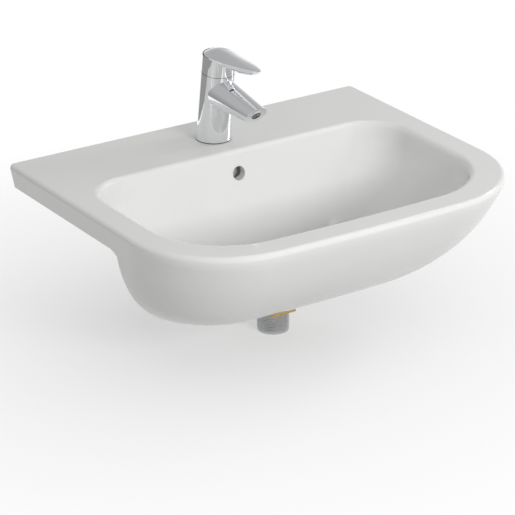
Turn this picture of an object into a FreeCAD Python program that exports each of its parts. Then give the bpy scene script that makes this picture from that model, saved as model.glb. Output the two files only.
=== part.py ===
import FreeCAD, Part
import math
import os
import Sketcher

# A semi recessed washbasin with its single lever mixer and its click waste, in millimetres.
# X runs across the basin from its centre line, Y is 0 on the wall and negative towards the user,
# and Z is 0 on the worktop that the rim rests on.

SIZES = {
    # the china: rim and outer form
    "rim_half_width": 275.3,
    "rim_height": 32.7,
    "rim_depth": 447.0,
    "rim_corner": 143.0,
    "rear_corner": 9.0,
    "ground_off": 0.2,
    "front_bow": 3300.0,
    "rim_edge": 5.5,
    "lip_edge": 8.0,
    "flare": 4.4,
    "shell_top": 24.0,
    "shell_bottom": 146.7,
    "shell_cut": 142.0,
    "shell_half_width": 270.9,
    "shell_front": 446.0,
    "shell_middle": 208.7,
    "shell_corner": 135.4,
    "shell_corner_low": 85.9,
    "worktop_depth": 268.0,
    "china_wall": 11.0,
    "deck_thickness": 15.7,
    # the china: bowl
    "bowl_half_width": 233.0,
    "bowl_top": 25.0,
    "bowl_floor": 106.0,
    "bowl_back": 128.5,
    "bowl_front": 403.0,
    "bowl_front_corner": 108.0,
    "bowl_back_corner": 56.0,
    "tap_hole": 17.5,
    "overflow_hole": 9.5,
    "overflow_height": 2.1,
    "duct_half_width": 24.0,
    "duct_wall": 8.0,
    # the waste
    "waste_from_wall": 215.0,
    "waste_hole": 23.0,
    "seat_radius": 34.0,
    "seat_depth": 4.0,
    "boss_radius": 37.0,
    "boss_bottom": 148.0,
    "flange_radius": 32.0,
    "flange_thickness": 2.5,
    "tail_radius": 20.95,
    "tail_bore": 18.0,
    "tail_end": 193.0,
    "washer_thickness": 4.0,
    "slip_thickness": 1.5,
    "backnut_height": 8.0,
    "backnut_flats": 58.0,
    "tail_slot_low": 135.0,
    "tail_slot_high": 113.0,
    "tail_slot_half": 6.0,
    "spider_low": 162.0,
    "spider_height": 8.0,
    "guide_low": 166.0,
    "guide_high": 128.0,
    "spring_high": 148.0,
    "guide_radius": 6.2,
    "guide_bore": 4.6,
    "cap_radius": 30.5,
    # the mixer
    "tap_from_wall": 72.0,
    "base_seal_thickness": 1.2,
    "lean_angle": 7.0,
    "column_base": 24.1,
    "column_top": 22.7,
    "column_height": 97.5,
    "shroud_radius": 22.4,
    "shroud_height": 24.5,
    "seam": 0.5,
    "pivot_height": 118.0,
    "spout_root_width": 21.5,
    "spout_root_height": 24.5,
    "spout_root_rise": 71.0,
    "spout_reach": 103.0,
    "spout_rise": 62.5,
    "spout_way": 5.5,
    "spout_end": 15.6,
    "spout_tilt": 54.0,
    "aerator_bore": 8.8,
    "cartridge_bore": 18.0,
    "cartridge_radius": 17.6,
    "cartridge_floor": 77.5,
    "housing_shoulder": 93.5,
    "nut_radius": 19.9,
    "way_radius": 2.1,
    "inlet_radius": 4.75,
    "stud_radius": 4.0,
    "horseshoe_radius": 24.0,
    "horseshoe_slot": 15.0,
    "gasket_thickness": 3.0,
    "horseshoe_thickness": 2.5,
    "stud_behind": 12.0,
    "clamp_flats": 13.0,
    "clamp_length": 12.0,
    "moving_radius": 7.0,
    "disc_level": 91.5,
    "neck_radius": 14.5,
    "chamber_radius": 12.9,
    "ball_drop": 13.0,
    "ball_radius": 2.7,
    "pin_radius": 1.5,
    "lever_reach": 99.1,
    "dome_radius": 21.4,
    "dome_low": 8.0,
    "dome_shoulder": 6.5,
    "dome_top": 12.3,
    "stem_half_width": 3.0,
    "grub_radius": 1.5,
    "grub_length": 6.0,
    "grub_key": 1.6,
}


class Size:
    """A number together with the spreadsheet formula that gives it."""

    def __init__(self, value, formula):
        self.value = value
        self.formula = formula

    def joined(self, other, sign, value, swapped=False):
        first, second = (other, self) if swapped else (self, other)
        return Size(value, f"({first.formula} {sign} {second.formula})")

    def __add__(self, other):
        other = as_size(other)
        return self.joined(other, "+", self.value + other.value)

    def __radd__(self, other):
        return as_size(other) + self

    def __sub__(self, other):
        other = as_size(other)
        return self.joined(other, "-", self.value - other.value)

    def __rsub__(self, other):
        return as_size(other) - self

    def __mul__(self, other):
        other = as_size(other)
        return self.joined(other, "*", self.value * other.value)

    def __rmul__(self, other):
        return as_size(other) * self

    def __truediv__(self, other):
        other = as_size(other)
        return self.joined(other, "/", self.value / other.value)

    def __pow__(self, other):
        other = as_size(other)
        return self.joined(other, "^", self.value ** other.value)

    def __neg__(self):
        return 0 - self


def as_size(number):
    if isinstance(number, Size):
        return number
    return Size(float(number), f"{float(number):.9g}" if number >= 0 else f"(0 - {-float(number):.9g})")


class Sheet:
    """The driving sizes, read as attributes, each bound to its cell."""

    def __init__(self, document, sizes):
        sheet = document.addObject("Spreadsheet::Sheet", "sizes")
        for row, (alias, value) in enumerate(sizes.items(), 1):
            sheet.set(f"A{row}", alias)
            sheet.set(f"B{row}", str(value))
            sheet.setAlias(f"B{row}", alias)
            setattr(self, alias, Size(value, f"sizes.{alias}"))


document = FreeCAD.newDocument("basin")
size = Sheet(document, SIZES)
document.recompute()


def bind(item, path, number):
    """Sets a property from a size, and ties it to the spreadsheet if a cell drives it."""
    number = as_size(number)
    if "sizes." in number.formula:
        item.setExpression(path, number.formula)
    return number.value


def new_piece(label, place=(0, 0, 0), tilt=0):
    """A body for one sub-part. Its own origin lies at place, turned about X by tilt."""
    body = document.addObject("PartDesign::Body", label)
    body.Label = label
    spot = [as_size(number).value for number in place]
    turn = FreeCAD.Rotation(FreeCAD.Vector(1, 0, 0), as_size(tilt).value)
    body.Placement = FreeCAD.Placement(FreeCAD.Vector(*spot), turn)
    for axis, number in zip("xyz", place):
        bind(body, f"Placement.Base.{axis}", number)
    bind(body, "Placement.Rotation.Angle", tilt)
    return body


def new_sketch(body, name, plane="XY", shift=(0, 0, 0), tilt=0):
    """A sketch on one of the body's origin planes, moved by shift and turned about its own X."""
    sketch = body.newObject("Sketcher::SketchObject", name)
    support = [item for item in body.Origin.OriginFeatures if item.Role == f"{plane}_Plane"][0]
    sketch.AttachmentSupport = [(support, "")]
    sketch.MapMode = "FlatFace"
    spot = [as_size(number).value for number in shift]
    turn = FreeCAD.Rotation(FreeCAD.Vector(1, 0, 0), as_size(tilt).value)
    sketch.AttachmentOffset = FreeCAD.Placement(FreeCAD.Vector(*spot), turn)
    for axis, number in zip("xyz", shift):
        bind(sketch, f"AttachmentOffset.Base.{axis}", number)
    if tilt:
        bind(sketch, "AttachmentOffset.Rotation.Angle", tilt)
    return sketch


def hold(sketch, kind, *where_and_number):
    """Adds a constraint whose last item is a size, and ties it to the spreadsheet."""
    *where, number = where_and_number
    index = sketch.addConstraint(Sketcher.Constraint(kind, *where, as_size(number).value))
    bind(sketch, f"Constraints[{index}]", number)


def circle(sketch, radius, x=0, y=0):
    radius = as_size(radius)
    centre = FreeCAD.Vector(as_size(x).value, as_size(y).value, 0)
    edge = sketch.addGeometry(Part.Circle(centre, FreeCAD.Vector(0, 0, 1), radius.value))
    hold(sketch, "DistanceX", -1, 1, edge, 3, x)
    hold(sketch, "DistanceY", -1, 1, edge, 3, y)
    hold(sketch, "Radius", edge, radius)


def bulged(start, end, radius):
    """The short arc from start to end. A positive radius bulges to the right of the way."""
    half = (end - start) / 2
    sagitta = abs(radius) - math.sqrt(radius * radius - half.Length * half.Length)
    side = FreeCAD.Vector(half.y, -half.x, 0).normalize() * math.copysign(sagitta, radius)
    return Part.Arc(start, start + half + side, end)


def outline(sketch, corners):
    """A closed outline. A corner is (x, y), or (x, y, radius) where an arc leads to it."""
    spots = [FreeCAD.Vector(as_size(c[0]).value, as_size(c[1]).value, 0) for c in corners]
    ends = []
    for index, corner in enumerate(corners):
        start, end = spots[index - 1], spots[index]
        if len(corner) == 2:
            edge = sketch.addGeometry(Part.LineSegment(start, end))
            ends.append((edge, 1, 2))
        else:
            radius = as_size(corner[2])
            edge = sketch.addGeometry(bulged(start, end, radius.value))
            forward = sketch.getPoint(edge, 1).distanceToPoint(start) < 1e-6
            ends.append((edge, 1, 2) if forward else (edge, 2, 1))
    for index, corner in enumerate(corners):
        edge, _, last = ends[index]
        following, begin, _ = ends[(index + 1) % len(corners)]
        sketch.addConstraint(Sketcher.Constraint("Coincident", edge, last, following, begin))
        hold(sketch, "DistanceX", -1, 1, edge, last, corner[0])
        hold(sketch, "DistanceY", -1, 1, edge, last, corner[1])
        if len(corner) == 3:
            radius = as_size(corner[2])
            hold(sketch, "Radius", edge, radius if radius.value > 0 else -radius)


def add_feature(body, kind, name, **settings):
    """Adds a feature, recomputes, and checks that it added or took material as it should."""
    before = body.Shape.Volume if body.Tip and not body.Shape.isNull() else 0
    feature = body.newObject(f"PartDesign::{kind}", name)
    for key, value in settings.items():
        if isinstance(value, Size):
            setattr(feature, key, value.value)
            bind(feature, key, value)
        else:
            setattr(feature, key, value)
    body.Tip = feature
    document.recompute()
    if feature.Shape.isNull() or not feature.Shape.isValid():
        raise RuntimeError(f"{body.Label}: {name} made no valid shape")
    change = feature.Shape.Volume - before
    takes = kind in ("Pocket", "Groove", "SubtractiveLoft", "SubtractivePipe")
    if abs(change) < 1e-6 or (takes and change > 0):
        raise RuntimeError(f"{body.Label}: {name} changed the volume by {change:.3f}")
    return feature


def pad(body, name, sketch, length, both_ways=False, backwards=False):
    return add_feature(
        body, "Pad", name, Profile=sketch, Length=as_size(length), Midplane=both_ways, Reversed=backwards
    )


def pocket(body, name, sketch, length, both_ways=False, backwards=False):
    return add_feature(
        body, "Pocket", name, Profile=sketch, Length=as_size(length), Midplane=both_ways, Reversed=backwards
    )


def turned(body, name, corners, cut=False, tilt=0):
    """Turns an outline of (radius, height) corners about the body's own Z, leaning forward by tilt."""
    sketch = new_sketch(body, f"{name}_profile", "XZ", tilt=tilt)
    outline(sketch, corners)
    kind = "Groove" if cut else "Revolution"
    return add_feature(body, kind, name, Profile=sketch, ReferenceAxis=(sketch, ["V_Axis"]), Angle=360.0)


def ring(body, name, outer, inner, low, high):
    """A plain turned ring or tube."""
    return turned(body, name, [(inner, low), (outer, low), (outer, high), (inner, high)])


def rounded_edges(body, name, radius, chosen):
    """Rounds the edges of the last feature that the function chosen picks."""
    base = body.Tip
    names = [f"Edge{i}" for i, edge in enumerate(base.Shape.Edges, 1) if chosen(edge)]
    return add_feature(body, "Fillet", name, Base=(base, names), Radius=as_size(radius))


def crown_radius(half_width, rise):
    """The radius of a shallow dome of this half width that rises so far at its middle."""
    return (half_width * half_width + rise ** 2) / (2 * rise)


def hexagon(sketch, across_flats):
    corner = as_size(across_flats) / math.sqrt(3)
    half = as_size(across_flats) / 2
    outline(sketch, [
        (corner, 0), (corner / 2, half), (-corner / 2, half),
        (-corner, 0), (-corner / 2, -half), (corner / 2, -half),
    ])


# ---------------------------------------------------------------------------------------------
# The china: one fired piece with rim, deck, bowl, front shell, overflow duct and waste boss
# ---------------------------------------------------------------------------------------------


def basin_section(name, height, half_width, back, front, back_radius, front_radius):
    """One level outline of the basin: straight sides, four round corners and a bowed front."""
    sketch = new_sketch(basin, name, "XY", (0, 0, height))
    wide, rear, near = as_size(half_width).value, -as_size(back).value, -as_size(front).value
    rear_r, near_r = as_size(back_radius).value, as_size(front_radius).value
    bow = size.front_bow.value
    bow_y = near + bow
    corner_y = bow_y - math.sqrt((bow - near_r) ** 2 - (wide - near_r) ** 2)
    reach = bow / (bow - near_r)
    touch_x = (wide - near_r) * reach
    touch_y = bow_y - (bow_y - corner_y) * reach
    spread = math.atan2(touch_x, bow_y - touch_y)

    def arc(x, y, radius, start, end):
        whole = Part.Circle(FreeCAD.Vector(x, y, 0), FreeCAD.Vector(0, 0, 1), radius)
        return Part.ArcOfCircle(whole, start, end)

    quarter = math.pi / 2
    right_side = Part.LineSegment(
        FreeCAD.Vector(wide, corner_y, 0), FreeCAD.Vector(wide, rear - rear_r, 0)
    )
    back_side = Part.LineSegment(
        FreeCAD.Vector(wide - rear_r, rear, 0), FreeCAD.Vector(rear_r - wide, rear, 0)
    )
    left_side = Part.LineSegment(
        FreeCAD.Vector(-wide, rear - rear_r, 0), FreeCAD.Vector(-wide, corner_y, 0)
    )
    edges = [
        right_side,
        arc(wide - rear_r, rear - rear_r, rear_r, 0, quarter),
        back_side,
        arc(rear_r - wide, rear - rear_r, rear_r, quarter, 2 * quarter),
        left_side,
        arc(near_r - wide, corner_y, near_r, 2 * quarter, 3 * quarter - spread),
        arc(0, bow_y, bow, 3 * quarter - spread, 3 * quarter + spread),
        arc(wide - near_r, corner_y, near_r, 3 * quarter + spread, 4 * quarter),
    ]
    for edge in edges:
        sketch.addGeometry(edge)
    for index in range(len(edges)):
        following = (index + 1) % len(edges)
        sketch.addConstraint(Sketcher.Constraint("Tangent", index, 2, following, 1))
    sketch.addConstraint(Sketcher.Constraint("Vertical", 0))
    sketch.addConstraint(Sketcher.Constraint("Horizontal", 2))
    sketch.addConstraint(Sketcher.Constraint("Vertical", 4))
    sketch.addConstraint(Sketcher.Constraint("PointOnObject", 6, 3, -2))
    hold(sketch, "DistanceX", -1, 1, 0, 1, half_width)
    hold(sketch, "DistanceX", 4, 1, -1, 1, half_width)
    hold(sketch, "DistanceY", -1, 1, 2, 1, -as_size(back))
    hold(sketch, "DistanceY", -1, 1, 6, 3, size.front_bow - front)
    hold(sketch, "Radius", 6, size.front_bow)
    for corner, radius in ((1, back_radius), (3, back_radius), (5, front_radius), (7, front_radius)):
        hold(sketch, "Radius", corner, radius)
    return sketch


def shell_sizes(height, inset):
    """The outer form at a height: half width, front and corner radius, less an inset."""
    depth = (size.shell_top - height) / (size.shell_top + size.shell_bottom)
    if depth.value < 0:
        depth = as_size(0)
    half_width = size.shell_half_width * (1 - depth ** 1.94) ** (1 / 3.77)
    if as_size(height).value > 0:
        half_width = half_width + size.flare * (as_size(height) / size.rim_height) ** 1.2
    front = size.shell_middle + (size.shell_front - size.shell_middle) * (1 - depth ** 1.06) ** (1 / 2.2)
    corner = size.shell_corner + (size.shell_corner_low - size.shell_corner) * depth ** 1.37
    return half_width - inset, front - inset, corner - inset


def bowl_sizes(height, inset):
    """The inside form at a height: half width, back, front and corner radii, less an inset."""
    depth = (size.bowl_top - height) / (size.bowl_top + size.bowl_floor + 2)
    half_width = size.bowl_half_width * (1 - depth ** 2.3) ** (1 / 2.6)
    back = size.waste_from_wall - (size.waste_from_wall - size.bowl_back) * (1 - depth) ** 0.31
    front = size.waste_from_wall + (size.bowl_front - size.waste_from_wall) * (1 - depth ** 1.7) ** (1 / 1.9)
    tightening = (1 - depth ** 3) ** 0.6
    return (
        half_width - inset,
        back + inset,
        front - inset,
        size.bowl_back_corner * tightening - inset,
        size.bowl_front_corner * tightening - inset,
    )


def lofted(name, sections, cut=False):
    kind = "SubtractiveLoft" if cut else "AdditiveLoft"
    return add_feature(basin, kind, name, Profile=sections[0], Sections=sections[1:])


basin = new_piece("basin")

# outer form, one smooth skin from the rim to the underside
sections = [
    basin_section(
        "rim_outline", size.rim_height, size.rim_half_width, -size.ground_off, size.rim_depth,
        size.rear_corner, size.rim_corner,
    )
]
for index, height in enumerate((13, -3, -20, -40, -60, -80, -100, -115, -127, -136), 1):
    half_width, front, corner = shell_sizes(as_size(height), 0)
    sections.append(
        basin_section(
            f"shell_outline_{index}", height, half_width, -size.ground_off, front, size.rear_corner, corner
        )
    )
half_width, front, corner = shell_sizes(-size.shell_cut, 0)
sections.append(
    basin_section(
        "shell_base", -size.shell_cut, half_width, -size.ground_off, front, size.rear_corner, corner
    )
)
lofted("outer_form", sections)

# the rear face is ground flat, where it meets the wall
wall = new_sketch(basin, "wall_outline", "XY", (0, 0, size.rim_height * 2))
outline(wall, [(-300, 0), (300, 0), (300, 20), (-300, 20)])
pocket(basin, "ground_face", wall, size.boss_bottom * 2)

# behind the worktop's front edge nothing of the outer form goes below the worktop
worktop = new_sketch(basin, "worktop_section", "YZ")
outline(worktop, [
    (-size.worktop_depth, 0), (-size.worktop_depth, -size.boss_bottom * 1.2),
    (20, -size.boss_bottom * 1.2), (20, 0),
])
pocket(basin, "worktop_space", worktop, size.rim_half_width * 3, both_ways=True)

# the underside is hollow: one wall thickness is left of the rim, the deck and the front shell
sections = []
under_deck = size.rim_height - size.deck_thickness
hollow_corner = 6
levels = (under_deck, 0, -25, -50, -75, -98)
for index, height in enumerate((as_size(level) for level in levels), 1):
    half_width, front, corner = shell_sizes(height, size.china_wall)
    sections.append(
        basin_section(
            f"hollow_outline_{index}", height, half_width, size.china_wall, front, hollow_corner, corner
        )
    )
# near its floor the shell is thicker, and follows the outer form a little lower down
for index, (height, level) in enumerate(((-114, -120), (-125, -131)), 1):
    half_width, front, corner = shell_sizes(as_size(level), size.china_wall * 1.7)
    sections.append(
        basin_section(
            f"hollow_base_{index}", height, half_width, size.china_wall, front, hollow_corner, corner
        )
    )
lofted("hollow_underside", sections, cut=True)

# the bowl's own wall hangs in the hollow
sections = []
for index, height in enumerate((22, 0, -22, -44, -64, -80, -92, -100, -105)):
    half_width, back, front, back_radius, front_radius = bowl_sizes(as_size(height), -size.china_wall)
    sections.append(
        basin_section(
            f"wall_outline_{index}", height - size.china_wall * (max(0, -height) / 105) ** 2,
            half_width, back, front, back_radius, front_radius,
        )
    )
lofted("bowl_wall", sections)

# waste boss under the floor
boss = new_sketch(basin, "boss_outline", "XY", (0, 0, -size.boss_bottom))
circle(boss, size.boss_radius, 0, -size.waste_from_wall)
pad(basin, "waste_boss", boss, size.boss_bottom - size.bowl_floor)

# overflow duct on the back of the bowl, from the deck down to the boss
duct = new_sketch(basin, "duct_outline", "YZ")
outline(duct, [
    (-140, 20), (-150, -60, -400), (-188, -112, -75), (-200, -130), (-186, -144),
    (-125, -82, 95), (-103, -8, 190), (-102, 20),
])
pad(basin, "overflow_duct", duct, size.duct_half_width * 2, both_ways=True)

# inside of the bowl
sections = []
half_width, back, front, back_radius, front_radius = bowl_sizes(size.bowl_top, -2.2)
sections.append(
    basin_section("mouth_outline", size.rim_height, half_width, back, front, back_radius, front_radius)
)
for index, height in enumerate((25, 7, -12, -31, -50, -67, -81, -92, -99, -103.5)):
    sections.append(basin_section(f"bowl_outline_{index}", height, *bowl_sizes(as_size(height), 0)))
half_width, back, front, back_radius, front_radius = bowl_sizes(-size.bowl_floor, 0)
sections.append(
    basin_section("floor_outline", -size.bowl_floor, half_width, back, front, back_radius, front_radius)
)
lofted("bowl_inside", sections, cut=True)

# waste hole and its seat
over_seat = 6
seat = new_sketch(basin, "seat_outline", "XY", (0, 0, over_seat - size.bowl_floor))
circle(seat, size.seat_radius, 0, -size.waste_from_wall)
pocket(basin, "waste_seat", seat, size.seat_depth + over_seat)
hole = new_sketch(basin, "waste_hole_outline", "XY", (0, 0, -size.bowl_floor))
circle(hole, size.waste_hole, 0, -size.waste_from_wall)
pocket(basin, "waste_hole", hole, size.boss_bottom)

# inside of the overflow duct, open into the waste hole
duct_inside = new_sketch(basin, "duct_inside_outline", "YZ")
outline(duct_inside, [
    (-121, 12), (-131, -40, -300), (-150, -82, -130), (-180, -122, -90), (-200, -129), (-200, -140),
    (-184, -136), (-134, -80, 85), (-112, -8, 180), (-111, 12),
])
pocket(basin, "duct_inside", duct_inside, (size.duct_half_width - size.duct_wall) * 2, both_ways=True)
overflow = new_sketch(basin, "overflow_outline", "XZ", (0, 0, 118))
circle(overflow, size.overflow_hole, 0, size.overflow_height)
pocket(basin, "overflow_mouth", overflow, 30, backwards=True)

# tap hole through the deck
hole = new_sketch(basin, "tap_hole_outline", "XY", (0, 0, size.rim_height))
circle(hole, size.tap_hole, 0, -size.tap_from_wall)
pocket(basin, "tap_hole", hole, size.deck_thickness * 2)


def on_rim(edge):
    box = edge.BoundBox
    return box.ZMin > SIZES["rim_height"] - 0.01


def round_mouth(edge):
    box = edge.BoundBox
    inside = max(abs(box.XMin), abs(box.XMax)) < 245 and -420 < box.YMin and box.YMax < -100
    return on_rim(edge) and inside


def round_rim(edge):
    box = edge.BoundBox
    outside = max(abs(box.XMin), abs(box.XMax)) > 255 or box.YMin < -430 or box.YMax > -5
    return on_rim(edge) and outside and not round_mouth(edge)


rounded_edges(basin, "bowl_lip", size.lip_edge, round_mouth)
rounded_edges(basin, "rim_edges", size.rim_edge, round_rim)

# ---------------------------------------------------------------------------------------------
# The mixer. Its pieces share one place: the middle of its foot, leaning forward.
# ---------------------------------------------------------------------------------------------

foot_height = size.rim_height + size.base_seal_thickness
mixer_place = (0, -size.tap_from_wall, foot_height)
lean = size.lean_angle
slack = 0.05
lean_sine = math.sin(math.radians(SIZES["lean_angle"]))
lean_cosine = math.cos(math.radians(SIZES["lean_angle"]))

# soft ring between the foot and the china
base_seal = new_piece("base_seal", (0, -size.tap_from_wall, size.rim_height))
ring(base_seal, "seal_ring", size.column_base - 0.6, 16, 0, size.base_seal_thickness)

# the cast body: leaning column and tapered oval spout in one piece
mixer_body = new_piece("mixer_body", mixer_place)
below_foot = 6
taper = (size.column_base - size.column_top) / size.column_height
turned(mixer_body, "column", [
    (0, -below_foot), (size.column_base + taper * below_foot, -below_foot),
    (size.column_top, size.column_height), (0, size.column_height),
], tilt=lean)
foot = new_sketch(mixer_body, "foot_level")
circle(foot, size.column_base * 2)
pocket(mixer_body, "level_foot", foot, below_foot * 3)


def oval(sketch, half_width, half_height, y):
    """An upright ellipse centred above the origin, held by its centre and both half axes."""
    half_width, half_height, y = as_size(half_width), as_size(half_height), as_size(y)
    centre = FreeCAD.Vector(0, y.value, 0)
    side = FreeCAD.Vector(half_width.value, y.value, 0)
    top = FreeCAD.Vector(0, y.value + half_height.value, 0)
    upright = half_height.value > half_width.value
    curve = Part.Ellipse(top, side, centre) if upright else Part.Ellipse(side, top, centre)
    edge = sketch.addGeometry(curve)
    sketch.exposeInternalGeometry(edge)
    hold(sketch, "DistanceX", -1, 1, edge, 3, 0)
    hold(sketch, "DistanceY", -1, 1, edge, 3, y)
    for axis in (edge + 1, edge + 2):
        line = sketch.Geometry[axis]
        across = abs(line.EndPoint.x - line.StartPoint.x) > abs(line.EndPoint.y - line.StartPoint.y)
        if axis == edge + 1:
            sketch.addConstraint(Sketcher.Constraint("Horizontal" if across else "Vertical", axis))
        hold(sketch, "Distance", axis, (half_width if across else half_height) * 2)


root = new_sketch(mixer_body, "spout_root", "XZ", (0, 0, 5))
oval(root, size.spout_root_width, size.spout_root_height, size.spout_root_rise)
middle = new_sketch(mixer_body, "spout_middle", "XZ", (0, 0, size.spout_reach * 0.5))
oval(middle, size.spout_root_width - 2.6, size.spout_root_height - 5.5, size.spout_root_rise - 3.6)
spout_end = new_sketch(
    mixer_body, "spout_end_circle", "XY", (0, -size.spout_reach, size.spout_rise), -size.spout_tilt
)
circle(spout_end, size.spout_end)
add_feature(mixer_body, "AdditiveLoft", "spout", Profile=root, Sections=[middle, spout_end])


def drilled(body, name, radius, length, spot, tilt, xs=(0,)):
    """Round holes of one length, drilled from spot against the direction that tilt gives Z."""
    sketch = new_sketch(body, f"{name}_outline", "XY", spot, tilt)
    for x in xs:
        circle(sketch, radius, x)
    return pocket(body, name, sketch, length)


def on_lean(height, y=0.0):
    """A spot in the foot's frame, height along the leaning axis and y behind it."""
    return (0, -height * lean_sine + y * lean_cosine, height * lean_cosine + y * lean_sine)


# the bore of the cartridge with a wider thread for its nut
drilled(mixer_body, "cartridge_bore", size.cartridge_bore, size.column_height - size.cartridge_floor + 1,
        on_lean(size.column_height + 1), lean)
drilled(mixer_body, "nut_thread", size.nut_radius + 0.1, size.column_height - size.housing_shoulder + 1,
        on_lean(size.column_height + 1), lean)

# hot and cold ways up to the cartridge floor, and the mixed way forward to the spout
floor = size.cartridge_floor
overrun = 2
way_low = (5.3, 10.8)
_, top_y, top_z = (as_size(number).value for number in on_lean(floor, -4.4))
rise_length = math.hypot(top_y - way_low[0], top_z - way_low[1])
rise_angle = math.degrees(math.atan2(way_low[0] - top_y, top_z - way_low[1]))
stretch = (rise_length + overrun) / rise_length
way_start = (0, way_low[0] + (top_y - way_low[0]) * stretch, way_low[1] + (top_z - way_low[1]) * stretch)
drilled(mixer_body, "supply_ways", size.way_radius, rise_length + overrun, way_start, rise_angle, (-4.9, 4.9))
_, port_y, port_z = on_lean(floor, 1.6)
drilled(mixer_body, "mixed_way", size.way_radius, 19, (0, port_y + 1.3, port_z + 1.3), -45)
spout_way = new_sketch(mixer_body, "spout_way_outline", "XZ", (0, 0, 18))
circle(spout_way, size.spout_way, 0, 67)
pocket(mixer_body, "spout_way", spout_way, size.spout_reach - 24, backwards=True)
aerator = new_sketch(mixer_body, "aerator_bore_outline", "XY",
                     (0, -size.spout_reach, size.spout_rise), -size.spout_tilt)
circle(aerator, size.aerator_bore)
pocket(mixer_body, "aerator_bore", aerator, 8.4, backwards=True)

# threaded holes in the foot: two for the supply tails and one for the fixing stud
for name, radius, x, y, length in (
    ("hot_inlet", size.inlet_radius, -5.4, 5, 12),
    ("cold_inlet", size.inlet_radius, 5.4, 5, 12),
    ("stud_hole", size.stud_radius + slack, 0, -size.stud_behind, 10),
):
    hole = new_sketch(mixer_body, f"{name}_outline", "XY")
    circle(hole, radius, x, y)
    pocket(mixer_body, name, hole, length, backwards=True)

# fixings under the deck: stud, soft horseshoe, steel horseshoe and a long nut
under = size.rim_height - size.deck_thickness
stud_place = (0, -size.tap_from_wall - size.stud_behind, 0)
fixing_stud = new_piece("fixing_stud", stud_place)
stud_low = -16
stud_high = foot_height + 9.8
stud_bevel = 0.8
turned(fixing_stud, "stud", [
    (0, stud_low), (size.stud_radius - stud_bevel, stud_low), (size.stud_radius, stud_low + stud_bevel),
    (size.stud_radius, stud_high - stud_bevel), (size.stud_radius - stud_bevel, stud_high), (0, stud_high),
])


def horseshoe(label, top, thickness):
    """A disc with a wide slot to the rear for the hoses and a hole for the stud."""
    piece = new_piece(label, (0, -size.tap_from_wall, top))
    disc = new_sketch(piece, "disc_outline")
    circle(disc, size.horseshoe_radius)
    pad(piece, "disc", disc, thickness, backwards=True)
    slot = new_sketch(piece, "slot_outline")
    half = size.horseshoe_slot
    outline(slot, [(-half, 30), (-half, 5), (-5, -4, 10), (5, -4), (half, 5, 10), (half, 30)])
    pocket(piece, "slot", slot, thickness)
    hole = new_sketch(piece, "stud_hole_outline")
    circle(hole, size.stud_radius + 0.3, 0, -size.stud_behind)
    pocket(piece, "stud_hole", hole, thickness)
    return piece


horseshoe("horseshoe_gasket", under, size.gasket_thickness)
horseshoe("horseshoe_washer", under - size.gasket_thickness, size.horseshoe_thickness)
under_washer = under - size.gasket_thickness - size.horseshoe_thickness
clamp_nut = new_piece("clamp_nut", (0, -size.tap_from_wall - size.stud_behind, under_washer))
nut = new_sketch(clamp_nut, "nut_outline")
hexagon(nut, size.clamp_flats)
circle(nut, size.stud_radius + slack)
pad(clamp_nut, "nut", nut, size.clamp_length, backwards=True)

# aerator in the spout end; its pieces share one place with Z going up into the spout
end_place = (0, -size.tap_from_wall - size.spout_reach, foot_height + size.spout_rise)
aerator_housing = new_piece("aerator_housing", end_place, -size.spout_tilt)
thread = size.aerator_bore - 0.1
insert_low, insert_high = 1.6, 7.0
turned(aerator_housing, "housing", [
    (6.8, -0.6), (thread - 0.5, -0.6), (thread, -0.1), (thread, insert_high), (7.4, insert_high),
    (7.4, insert_low), (6.8, insert_low),
])
aerator_insert = new_piece("aerator_insert", end_place, -size.spout_tilt)
insert = new_sketch(aerator_insert, "insert_outline", "XY", (0, 0, insert_low))
circle(insert, 7.3)
jet_radius, jet_circle, jets = 1.6, 4.4, 6
circle(insert, jet_radius)
for number in range(jets):
    angle = 2 * math.pi * number / jets
    circle(insert, jet_radius, jet_circle * math.cos(angle), jet_circle * math.sin(angle))
pad(aerator_insert, "insert", insert, insert_high - insert_low)
aerator_seal = new_piece("aerator_seal", end_place, -size.spout_tilt)
ring(aerator_seal, "seal", thread - 0.1, 6.2, insert_high, insert_high + 1.4)

# ---------------------------------------------------------------------------------------------
# The cartridge, on the leaning axis
# ---------------------------------------------------------------------------------------------

ports = ((-4.6, -4.4), (4.6, -4.4), (0, 1.6))
seal_thickness = 0.8

# one moulded seal with three eyes
base_seals = new_piece("cartridge_base_seals", mixer_place, lean)
webs = new_sketch(base_seals, "webs_outline", "XY", (0, 0, floor))
for scale in (1.12, 0.78):
    outline(webs, [(x * scale, -2.4 + (y + 2.4) * scale) for x, y in ports])
pad(base_seals, "webs", webs, seal_thickness / 2)
eyes = new_sketch(base_seals, "eyes_outline", "XY", (0, 0, floor))
holes = new_sketch(base_seals, "holes_outline", "XY", (0, 0, floor))
for x, y in ports:
    circle(eyes, size.way_radius + 1.2, x, y)
    circle(holes, size.way_radius, x, y)
pad(base_seals, "eyes", eyes, seal_thickness)
pocket(base_seals, "holes", holes, seal_thickness, backwards=True)

housing = new_piece("cartridge_housing", mixer_place, lean)
shoulder = size.housing_shoulder
lip_low = floor + 30
turned(housing, "shell", [
    (0, floor + seal_thickness), (size.cartridge_radius, floor + seal_thickness),
    (size.cartridge_radius, shoulder), (size.neck_radius, shoulder), (size.neck_radius, lip_low + 2),
    (10.2, lip_low + 2), (10.2, lip_low), (size.chamber_radius, lip_low),
    (size.chamber_radius, size.disc_level), (0, size.disc_level),
])
holes = new_sketch(housing, "ports_outline", "XY", (0, 0, floor))
for x, y in ports:
    circle(holes, size.way_radius, x, y)
pocket(housing, "ports", holes, size.disc_level - floor + 1, backwards=True)

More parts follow.
